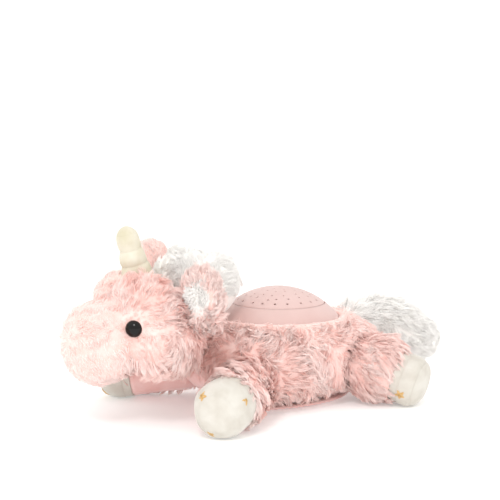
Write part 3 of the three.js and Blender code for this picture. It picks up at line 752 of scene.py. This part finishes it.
for side_name, side in SIDES:
    ear_node, lining_node = f"{side_name}_ear", f"{side_name}_ear_lining"
    verts, tris = fused([ear_node], *SKIN[ear_node])
    lining_verts, lining_tris = fused([lining_node], *SKIN["lining"])
    lining_low, lining_high = np.quantile(lining_verts[:, 2], (0.30, 0.80))
    lining_tree = BVHTree.FromPolygons([Vector(v) for v in lining_verts], lining_tris.tolist())

    def ear_area(p, n):
        off_lining = np.array([(lining_tree.find_nearest(Vector(q))[3] or 99) > LINING_GAP for q in p])
        return off_lining | (p[:, 2] < lining_low) | (p[:, 2] > lining_high)

    ear = furry(f"{side_name}_ear_plush", verts, tris, [pink_skin], PINK_FUR,
                ear_style(ear_node, float(side > 0)), 301 + side, PILE["ear"], ear_area)
    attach(ear, ear_node)
    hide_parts(ear_node)

    lining = furry(f"{side_name}_ear_lining_plush", lining_verts, lining_tris, [white_skin], WHITE_FUR,
                   lining_style, 311 + side, PILE["lining"], lambda p, n: p[:, 2] > lining_low)
    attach(lining, ear_node)
    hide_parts(lining_node)


def mane_style(p, n):
    flow = unit(p - np.array([0, -72, 88])) + np.array([0, 0.35, 0.15]) + 0.45 * swirl_mid(p)
    return flow, 7.5, 0.26 + 0.05 * swirl_mid(p)[:, 2], 0.85 + 0.1 * swirl_mid(p)[:, 1], 0.3


MANE_LOW = 84  # the mane's own strands start this far up
verts, tris = fused(["mane"], *SKIN["mane"])
mane = furry("mane_plush", verts, tris, [white_skin], WHITE_FUR, mane_style, 321, PILE["mane"],
             lambda p, n: p[:, 2] > MANE_LOW)
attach(mane, "head")
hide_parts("mane")

tail_points = np.array(TAIL_LINE, float)


def tail_style(p, n):
    step = unit(tail_points[1:] - tail_points[:-1])
    gaps = np.linalg.norm(p[:, None] - (tail_points[1:] + tail_points[:-1])[None] / 2, axis=2)
    near = np.exp(-((gaps / 16) ** 2)) + 1e-6
    flow = (near[:, :, None] * step[None]).sum(1) / near.sum(1, keepdims=True)
    end = smoothstep(p[:, 1], 118, 150)
    flow = unit(flow) + np.column_stack([p[:, 0] * 0.015, 0 * end, 0.35 * end]) + 0.22 * swirl_wide(p)
    return flow, 15 - 7 * end, 0.15, 0.82 + 0.12 * swirl_mid(p)[:, 1], 0.35


verts, tris = fused(["tail"], *SKIN["tail"])
tail = furry("tail_plush", verts, tris, [white_skin], WHITE_FUR, tail_style, 331, PILE["tail"])
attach(tail, "tail")
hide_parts("tail")


def neck_style(p, n):
    flow = np.array([0, 0.4, -0.8]) + 0.8 * swirl_mid(p)
    # painted shade: the neck's fur gets a dark tone, for the shade in the gap between head and body
    return flow, 6.0, 0.7, 0.3, 0.8


verts, tris = fused(["neck_stuffing"], *SKIN["neck"])
neck = furry("neck_plush", verts, tris, [pink_skin], PINK_FUR, neck_style, 341, PILE["neck"],
             lambda p, n: np.abs(n[:, 1]) < 0.75)
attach(neck, "neck")
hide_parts("neck_stuffing")


# -------- turned pieces
def frame_along(axis):
    """Two directions square to the axis."""
    axis = unit(axis)
    helper = np.array([0, 0, 1.0]) if abs(axis[2]) < 0.9 else np.array([1.0, 0, 0])
    across = unit(np.cross(helper, axis))
    return across, np.cross(axis, across)


def direction(lean, heading):
    """The way that leans over from straight up, towards a heading."""
    return np.array([math.sin(lean) * math.cos(heading), math.sin(lean) * math.sin(heading), math.cos(lean)])


def grid_quads(rows, columns, wrap_rows=False, wrap_columns=True):
    """Faces over points listed row by row, closed round where they wrap."""
    whole = np.indices((rows, columns))
    i, j = whole[:, : rows - (not wrap_rows), : columns - (not wrap_columns)]
    k, m = (i + 1) % rows, (j + 1) % columns
    corners = [i * columns + j, i * columns + m, k * columns + m, k * columns + j]
    return np.stack(corners, -1).reshape(-1, 4)


FLIPPED = [0, 3, 2, 1]  # the corners of a face, taken the other way round


FLOOR_CLEARANCE = 0.1


def revolve(profile, origin, axis, around, lumps=None, depth=0.0):
    """A profile of (radius, height) turned about an axis that it starts and ends on.

    lumps is a field that pushes its surface in and out by about depth mm.
    """
    across, other = frame_along(axis)
    axis = unit(axis)
    profile = np.asarray(profile, float)
    angle = np.linspace(0, 2 * np.pi, around, endpoint=False)
    rim = np.cos(angle)[:, None] * across + np.sin(angle)[:, None] * other
    rings = profile[1:-1]
    points = origin + rings[:, None, :1] * rim[None] + rings[:, None, 1:] * axis
    if lumps is not None:
        flat = points.reshape(-1, 3)
        middle = origin + ((flat - origin) @ axis)[:, None] * axis
        flat = flat + unit(flat - middle) * (depth * lumps(flat)[:, :1])
        flat[:, 2] = np.maximum(flat[:, 2], FLOOR_CLEARANCE)
        points = flat.reshape(points.shape)
    count = len(rings)
    verts = np.vstack([points.reshape(-1, 3), origin + profile[0, 1] * axis, origin + profile[-1, 1] * axis])
    ring = np.arange(around)
    nxt = (ring + 1) % around
    first = np.column_stack([np.full(around, count * around), nxt, ring])
    base = (count - 1) * around
    last = np.column_stack([np.full(around, count * around + 1), base + ring, base + nxt])
    return verts, [grid_quads(count, around), np.vstack([first, last])]


def tube(points, radius, sides=8):
    """A round thread along a loop of points."""
    points = np.asarray(points, float)
    ahead = np.roll(points, -1, 0) - np.roll(points, 1, 0)
    along = unit(ahead)
    middle = points.mean(0)
    out = unit(points - middle)
    up = unit(np.cross(along, out))
    out = np.cross(up, along)
    angle = np.linspace(0, 2 * np.pi, sides, endpoint=False)
    ring = points[:, None] + radius * (
        np.cos(angle)[None, :, None] * out[:, None] + np.sin(angle)[None, :, None] * up[:, None])
    return ring.reshape(-1, 3), [grid_quads(len(points), sides, wrap_rows=True)]


# -------- hooves
HOOF_POWER = 2.7  # how square the end of the hoof is, 2 being a ball


def hoof_radius(along, radius, reach, seam_at):
    """The hoof is a stuffed cylinder with a rounded, slightly flattened end and a seam round its sole."""
    share = np.clip(along / reach, 0, 1)
    round_end = (1 - share ** HOOF_POWER) ** (1 / HOOF_POWER)
    swell = 1 - 0.035 * np.clip(1 - np.abs(along - 2) / 9, 0, 1) * (along < 0)
    seam = 0.8 * np.exp(-(((along - seam_at * reach) / 0.55) ** 2))
    return radius * round_end * swell - seam


def star_outline(angle):
    """How far a five-pointed star reaches at an angle, 1 at its points."""
    phase = np.abs(((angle * 5 / (2 * np.pi)) % 1) - 0.5) * 2
    inner, power = 0.46, 1.15
    return inner + (1 - inner) * phase ** power


def star_patch(surface, around_angle, along, size, height):
    """An embroidered star laid on a turned surface, raised by its thread."""
    rings, sectors = 8, 80
    angle = np.linspace(0, 2 * np.pi, sectors, endpoint=False)
    verts = []
    for outside in (True, False):
        for share in np.linspace(0, 1, rings + 1):
            reach = size * share * star_outline(angle)
            crown = height * (1 - share ** 3) + 0.07 * np.sin(angle * 45) * (share > 0.1) * (share < 1)
            level = crown if outside else np.full(sectors, -0.5)
            verts.append(surface(around_angle, along, reach * np.cos(angle), reach * np.sin(angle), level))
    half = (rings + 1) * sectors
    top = grid_quads(rings + 1, sectors)[:, FLIPPED]
    rim = rings * sectors + np.arange(sectors)
    after = np.roll(rim, -1)
    edge = np.column_stack([rim, half + rim, half + after, after])
    return np.concatenate(verts), [np.concatenate([top, top[:, ::-1] + half, edge])]


STAR_SIZE, STAR_HEIGHT = 4.3, 0.5
# where each star sits: degrees round the hoof, and how far along it
HOOF_STARS = {"front": ((132, 15.2), (252, 15.2), (26, 6.5)), "rear": ((205, 3), (345, 3), (285, 3))}
# how far the sole lies beyond the foot's centre, over the hoof's radius, and how far out its seam is
HOOF_REACH = {"front": 1.0, "rear": 0.84}
HOOF_SEAM = {"front": 0.83, "rear": 0.62}


def make_hoof(kind, side, side_name):
    hip, foot, axis = leg_points(kind, side)
    radius = LEGS[kind]["foot_r"] - 0.2
    reach = radius * HOOF_REACH[kind] + 0.3
    across, other = frame_along(axis)
    along = np.concatenate([[-HOOF_START - 0.4], np.linspace(-HOOF_START - 0.4, reach * 0.9, 34),
                            reach * (1 - np.geomspace(0.09, 0.001, 16))])
    lumps = Swirl(400 + side, 24)

    def surface(turn, at, du, dv, lift):
        """Points du round and dv along from one place on the hoof, laid on its surface and raised by lift."""
        out = math.cos(turn) * across + math.sin(turn) * other
        place = at * axis + hoof_radius(at, radius, reach, HOOF_SEAM[kind]) * out
        sideways = math.cos(turn) * other - math.sin(turn) * across
        ahead = np.cross(unit(place), sideways)
        heading = unit(place + np.outer(du, sideways) + np.outer(dv, ahead))
        s = np.maximum(heading @ axis, 0)
        r = np.sqrt(1 - (heading @ axis) ** 2)
        distance = ((r / radius) ** HOOF_POWER + (s / reach) ** HOOF_POWER) ** (-1 / HOOF_POWER)
        p = foot + heading * (distance + lift)[:, None]
        return np.column_stack([p[:, :2], np.maximum(p[:, 2], 0.15)])

    wall = [(hoof_radius(s, radius, reach, HOOF_SEAM[kind]), s) for s in along[1:]]
    profile = [(0, along[0]), (radius - 2, along[0]), *wall, (0, reach)]

    verts, faces = revolve(profile, foot, axis, 72, lumps, 0.35)
    part = f"{kind}_{side_name}_hoof"
    hoof = new_object(f"{part}_velour", verts, faces, [ivory])
    body_name = f"{kind}_{side_name}_leg"
    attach(hoof, body_name)
    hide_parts(part)

    patches = [star_patch(surface, math.radians(spot if side > 0 else 180 - spot), at, STAR_SIZE, STAR_HEIGHT)
               for spot, at in HOOF_STARS[kind]]
    stars = new_object(f"{part}_stars", *joined(patches), [gold_thread])
    bm = bmesh.new()
    bm.from_mesh(stars.data)
    bmesh.ops.remove_doubles(bm, verts=bm.verts, dist=1e-6)
    bmesh.ops.recalc_face_normals(bm, faces=bm.faces)
    bm.to_mesh(stars.data)
    bm.free()
    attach(stars, body_name)


for kind in LEGS:
    for side_name, side in SIDES:
        make_hoof(kind, side, side_name)

# -------- horn
horn_axis = unit(HORN_TIP - HORN_BASE)
horn_length = float(np.linalg.norm(HORN_TIP - HORN_BASE))


def horn_radius(t):
    """Three puffed segments between two tied grooves, with a round tip."""
    cone = 11.6 - 4.7 * t
    edges = (-0.12, *HORN_GROOVES, 1.02)
    for a, b in zip(edges[:-1], edges[1:]):
        if a <= t <= b:
            local = (t - a) / (b - a)
            puff = math.sin(math.pi * min(max(local, 0), 1)) ** 0.55
            cone += 1.5 * puff - 1.3
    if t > 0.74:
        cone *= math.sqrt(max(0.0, 1 - ((t - 0.74) / 0.275) ** 2.4))
    return max(cone, 0.0)


HORN_END = 1.015  # the rounded end of the horn, over its length
steps = np.concatenate([np.linspace(0.0, 0.9, 66), HORN_END - 0.115 * np.cos(np.linspace(0, np.pi / 2, 16))])
steps = np.unique(np.clip(steps, 0, 1.0145))
wall = [(horn_radius(t), t * horn_length) for t in steps]
profile = [(0, wall[0][1]), *wall, (0, HORN_END * horn_length)]
verts, faces = revolve(profile, HORN_BASE, horn_axis, 64, Swirl(77, 17), 0.3)
horn = new_object("horn_cloth", verts, faces, [horn_cloth])
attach(horn, "head")
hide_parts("horn")
thread_mat = grained(
    material("horn_thread", srgb(226, 219, 190), 0.6, 0.2), [srgb(190, 181, 150), srgb(212, 206, 182)], 800,
    bump=0.5, bump_scale=2400,
)
across, other = frame_along(horn_axis)
PLY_RADIUS, PLY_OFFSET, PLY_TURNS = 0.36, 0.28, 22  # the two plies that each thread is twisted from
for number, groove in enumerate(HORN_GROOVES, 1):
    plies = []
    turns = np.linspace(0, 2 * np.pi, 96, endpoint=False)
    ring_radius = horn_radius(groove) + 0.15
    for strand in range(2):
        twist = turns * PLY_TURNS + strand * np.pi
        r = ring_radius + PLY_OFFSET * np.cos(twist)
        h = groove * horn_length + PLY_OFFSET * np.sin(twist)
        loop = HORN_BASE + h[:, None] * horn_axis + r[:, None] * (
            np.cos(turns)[:, None] * across + np.sin(turns)[:, None] * other)
        plies.append(tube(loop, PLY_RADIUS))
    thread = new_object(f"horn_thread_{number}_twist", *joined(plies), [thread_mat])
    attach(thread, "head")
    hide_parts(f"horn_thread_{number}")

# -------- eyes
EYE_CROWN, STEM_RADIUS, STEM_LENGTH = 4.6, 1.5, 7
for side_name, side in SIDES:
    crown = [(EYE_RADIUS * math.sin(a), EYE_CROWN * math.cos(a)) for a in np.linspace(0, math.pi / 2, 20)]
    back = [(EYE_RADIUS, -0.4), (EYE_RADIUS - 0.5, -0.8), (1.9, -0.9), (STEM_RADIUS, -1.3),
            (STEM_RADIUS, -STEM_LENGTH), (0, -STEM_LENGTH)]
    verts, faces = revolve((crown + back)[::-1], EYE_SEAT * (side, 1, 1), EYE_AXIS * (side, 1, 1), 48)
    eye = new_object(f"{side_name}_eye_gloss", verts, faces, [eye_black])
    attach(eye, "head")
    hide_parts(f"{side_name}_eye")

# -------- dome and collar
DOME_WALL, COLLAR_WALL = 2.0, 2.2
AROUND = 128
up_axis = np.array([0, 0, 1.0])


def drill(piece, bits):
    """Cuts closed shapes, each given as its points and faces, out of a piece."""
    cutter = new_object("pins", *joined(bits), [dome_plastic])
    cut = piece.modifiers.new("drill", "BOOLEAN")
    cut.operation = "DIFFERENCE"
    cut.object = cutter
    cut.solver = "EXACT"
    drilled = bpy.data.meshes.new_from_object(piece.evaluated_get(bpy.context.evaluated_depsgraph_get()))
    piece.modifiers.clear()
    piece.data = drilled
    bpy.data.objects.remove(cutter)


def sphere_arc(radius, from_r, to_r, count):
    """Points of a sphere about the dome's centre, from one distance off its axis to another."""
    tilts = np.linspace(math.asin(from_r / radius), math.asin(to_r / radius), count)
    return [(radius * math.sin(t), radius * math.cos(t)) for t in tilts]


outer = sphere_arc(DOME_RADIUS, 0, DOME_RIM - 0.2, 26)
inner = sphere_arc(DOME_RADIUS - DOME_WALL, DOME_RIM - 0.3, 0, 16)
rounding = [(DOME_RIM, outer[-1][1] - 0.5)]
verts, faces = revolve((outer + rounding + inner)[::-1], DOME_CENTRE, up_axis, AROUND)
dome = new_object("star_dome", verts, faces, [dome_plastic])
rng = np.random.default_rng(5)
# each ring of pinholes: its tilt in degrees, how many, and their radius
HOLES = [(4, 3, 0.5), (10, 8, 0.55), (15.5, 12, 0.6), (21, 15, 0.7), (26.5, 19, 0.8), (32, 20, 0.95)]
pins = []
for tilt, number, radius in HOLES:
    for i in range(number):
        heading = 2 * math.pi * (i + rng.uniform(-0.22, 0.22)) / number + tilt
        lean = math.radians(tilt + rng.uniform(-1.6, 1.6) * (tilt < 30))
        pin = [(0, 54), (radius, 54), (radius, 60), (0, 60)]
        pins.append(revolve(pin, DOME_CENTRE, direction(lean, heading), 14))
drill(dome, pins)
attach(dome, "torso")
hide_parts("projector_dome")

outer = sphere_arc(DOME_RADIUS, DOME_RIM + 0.5, COLLAR_RIM - 0.6, 14)
low, high, foot = outer[-1][1], outer[0][1], 24.6
skirt = [(COLLAR_RIM - 0.2, low - 0.6), (COLLAR_RIM, low - 1.4), (COLLAR_RIM, foot),
         (COLLAR_RIM - COLLAR_WALL, foot), (COLLAR_RIM - COLLAR_WALL, low - 1.6)]
inner = sphere_arc(DOME_RADIUS - COLLAR_WALL, COLLAR_RIM - 3.0, DOME_RIM + 1.2, 12)
ledge = [(DOME_RIM - 2, high - 4.4), (DOME_RIM - 2, high - 2.6), (DOME_RIM + 0.4, high - 2.4),
         (DOME_RIM + 0.4, high - 0.3)]
loop = np.array(outer + skirt + inner + ledge)
angle = np.linspace(0, 2 * np.pi, AROUND, endpoint=False)
rim = np.column_stack([np.cos(angle), np.sin(angle), np.zeros(AROUND)])
points = DOME_CENTRE + loop[:, None, :1] * rim[None] + loop[:, None, 1:] * up_axis
quads = grid_quads(len(loop), AROUND, wrap_rows=True)[:, FLIPPED]
collar = new_object("dome_collar_ring", points.reshape(-1, 3), [quads], [dome_plastic])
BUTTON_TILT, BUTTON_SPACING, BUTTON_R = 43.5, 17, 4.2
BUTTON_GAP, FLANGE_BORE, SHELL = 0.4, 5.6, DOME_RADIUS - COLLAR_WALL
hole = [(0, 47), (FLANGE_BORE, 47), (FLANGE_BORE, SHELL), (BUTTON_R + BUTTON_GAP, SHELL),
        (BUTTON_R + BUTTON_GAP, 62), (0, 62)]
button_axes = {
    name: direction(math.radians(BUTTON_TILT), math.radians(180 + (number - 1) * BUTTON_SPACING))
    for number, name in enumerate(("power", "colour", "timer"))
}
drill(collar, [revolve(hole, DOME_CENTRE, axis, 36) for axis in button_axes.values()])
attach(collar, "torso")
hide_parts("dome_collar")

DISH_R, DISH_DEPTH, FLANGE_R, FLANGE = 3.2, 0.45, 5.2, 1.4  # a cap's hollow, and the flange that holds it in
flange_top = SHELL - BUTTON_GAP
top = DOME_RADIUS + 1.1
for name, axis in button_axes.items():
    dish = [(r, top - DISH_DEPTH * math.cos(r / DISH_R * math.pi / 2) ** 2)
            for r in np.linspace(0, DISH_R, 10)]
    edge = [(DISH_R + math.sin(a), top - 1.0 + math.cos(a)) for a in np.linspace(0.15, math.pi / 2, 8)]
    under = [(BUTTON_R, flange_top), (FLANGE_R, flange_top), (FLANGE_R, flange_top - FLANGE),
             (0, flange_top - FLANGE)]
    verts, faces = revolve((dish + edge + under)[::-1], DOME_CENTRE, axis, 48)
    button = new_object(f"{name}_button_cap", verts, faces, [dome_plastic])
    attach(button, f"{name}_button")
    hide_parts(f"{name}_button")

# -------- belly
BASE_Y, FLAP_Y = 8.0, 6.0  # the middles of the cloth base and of the flap
OPENING, RECESS, BASE = (27.6, 33.6), (21, 28), (38.0, 58.5)  # half widths and half lengths
BASE_AROUND = 360


def rounded_box(angle, half_width, half_length, power=8):
    """Points of a rectangle with rounded corners, about the flap's middle, one for each heading."""
    c, s = np.cos(angle), np.sin(angle)
    r = (np.abs(c / half_width) ** power + np.abs(s / half_length) ** power) ** (-1 / power)
    return np.column_stack([r * c, FLAP_Y + r * s])


def belly_ring():
    """The stitched cloth base: flat round the flap, gathered into its seam, with a puffed edge."""
    angle = np.linspace(0, 2 * np.pi, BASE_AROUND, endpoint=False)
    opening, recess = rounded_box(angle, *OPENING), rounded_box(angle, *RECESS)
    oval = np.column_stack([BASE[0] * np.cos(angle), BASE_Y + BASE[1] * np.sin(angle)])
    gathers = np.sin(angle * 64 + 1.5 * np.sin(angle * 5)) * 0.5
    rows = []
    for share in np.linspace(0, 1, 9):
        flat = opening * (1 - share) + oval * share
        height = 0.35 + 0.7 * share ** 3 + gathers * 0.7 * share ** 2 + 0.25 * share ** 2
        rows.append(np.column_stack([flat, np.maximum(height, 0.15)]))
    out = unit(oval - [0, BASE_Y])
    hem = [(oval + out * (grow + 0.5 * gathers[:, None]), height)
           for grow, height in ((0.9, 1.7), (1.2, 2.5), (0.6, 3.3), (-1.0, 3.6))]
    for edge, height in [*hem, (recess, 3.6), (recess, 2.5), (opening, 2.5)]:
        rows.append(np.column_stack([edge, np.full(BASE_AROUND, height)]))
    return np.concatenate(rows), grid_quads(len(rows), BASE_AROUND, wrap_rows=True)[:, FLIPPED]


verts, quads = belly_ring()
belly = new_object("belly_panel_cloth", verts, [quads], [pink_cloth])
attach(belly, "torso")
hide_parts("belly_panel")


FLAP_WIDE, FLAP_LONG = 27, 33  # half the flap's width and length


def flap_sheet():
    """A flat cloth with a row of stitching sunk into it near its edge, as points 1 mm apart."""
    columns, rows = 2 * FLAP_WIDE + 1, 2 * FLAP_LONG + 1
    x, y = np.meshgrid(np.linspace(-FLAP_WIDE, FLAP_WIDE, columns), np.linspace(-FLAP_LONG, FLAP_LONG, rows),
                       indexing="ij")
    edge = np.minimum(FLAP_WIDE - np.abs(x), FLAP_LONG - np.abs(y))
    stitch = 0.14 * np.exp(-(((edge - 3) / 0.7) ** 2)) * (0.6 + 0.4 * np.sin((x + y) * 2.2))
    puff = 0.10 * swirl_mid(np.column_stack([x.ravel(), y.ravel(), x.ravel() * 0]))[:, 0].reshape(x.shape)
    low = np.column_stack([x.ravel(), y.ravel() + FLAP_Y, (0.32 + stitch + puff * (edge > 1)).ravel()])
    high = np.column_stack([x.ravel(), y.ravel() + FLAP_Y, np.full(x.size, 1.08)])
    sheet = grid_quads(columns, rows, wrap_columns=False)
    top = sheet[:, ::-1] + x.size
    number = np.arange(x.size).reshape(x.shape)
    rim = np.concatenate([number[:, 0], number[-1, 1:], number[-2::-1, -1], number[0, -2:0:-1]])
    after = np.roll(rim, -1)
    side = np.column_stack([rim, after, after + x.size, rim + x.size])
    return np.concatenate([low, high]), np.concatenate([sheet, top, side])


verts, quads = flap_sheet()
flap = new_object("belly_flap_cloth", verts, [quads], [pink_cloth])
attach(flap, "belly_flap")
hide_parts("belly_flap")


# -------- the pieces inside
def plain(name, colour, roughness, scale=200, bump=0.1, **look):
    """A material that varies a little about one colour."""
    dark, pale = srgb(*(c * 0.93 for c in colour)), srgb(*(min(255, c * 1.04) for c in colour))
    finish = material(name, srgb(*colour), roughness, **look)
    return grained(finish, [dark, srgb(*colour), pale], scale, bump=bump)


INSIDE = [
    (plain("white_plastic", (233, 229, 226), 0.45),
     ("housing_upper", "housing_lower", "battery_door", "left_eye_washer", "right_eye_washer")),
    (plain("circuit_board", (47, 107, 69), 0.5, 350), ("circuit_board",)),
    (plain("amber_resin", (240, 168, 60), 0.15, coat=0.5), ("amber_lamp",)),
    (plain("green_resin", (96, 190, 120), 0.15, coat=0.5), ("green_lamp",)),
    (plain("blue_resin", (96, 140, 220), 0.15, coat=0.5), ("blue_lamp",)),
    (plain("soft_rubber", (216, 213, 208), 0.85), ("button_membrane",)),
    (plain("battery_jacket", (168, 172, 178), 0.35, 90, metallic=0.4),
     ("battery_1", "battery_2", "battery_3")),
    (plain("sprung_steel", (200, 201, 203), 0.3, 500, 0.15, metallic=1.0),
     ("front_battery_contacts", "rear_battery_contacts", "door_screw", "housing_screw_1", "housing_screw_2")),
    (plain("hook_and_loop", (236, 216, 216), 0.95, 900, 0.9), ("flap_hook_strip", "belly_loop_strip")),
]
for finish, nodes in INSIDE:
    for node in nodes:
        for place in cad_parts[node].material_slots:
            place.material = finish
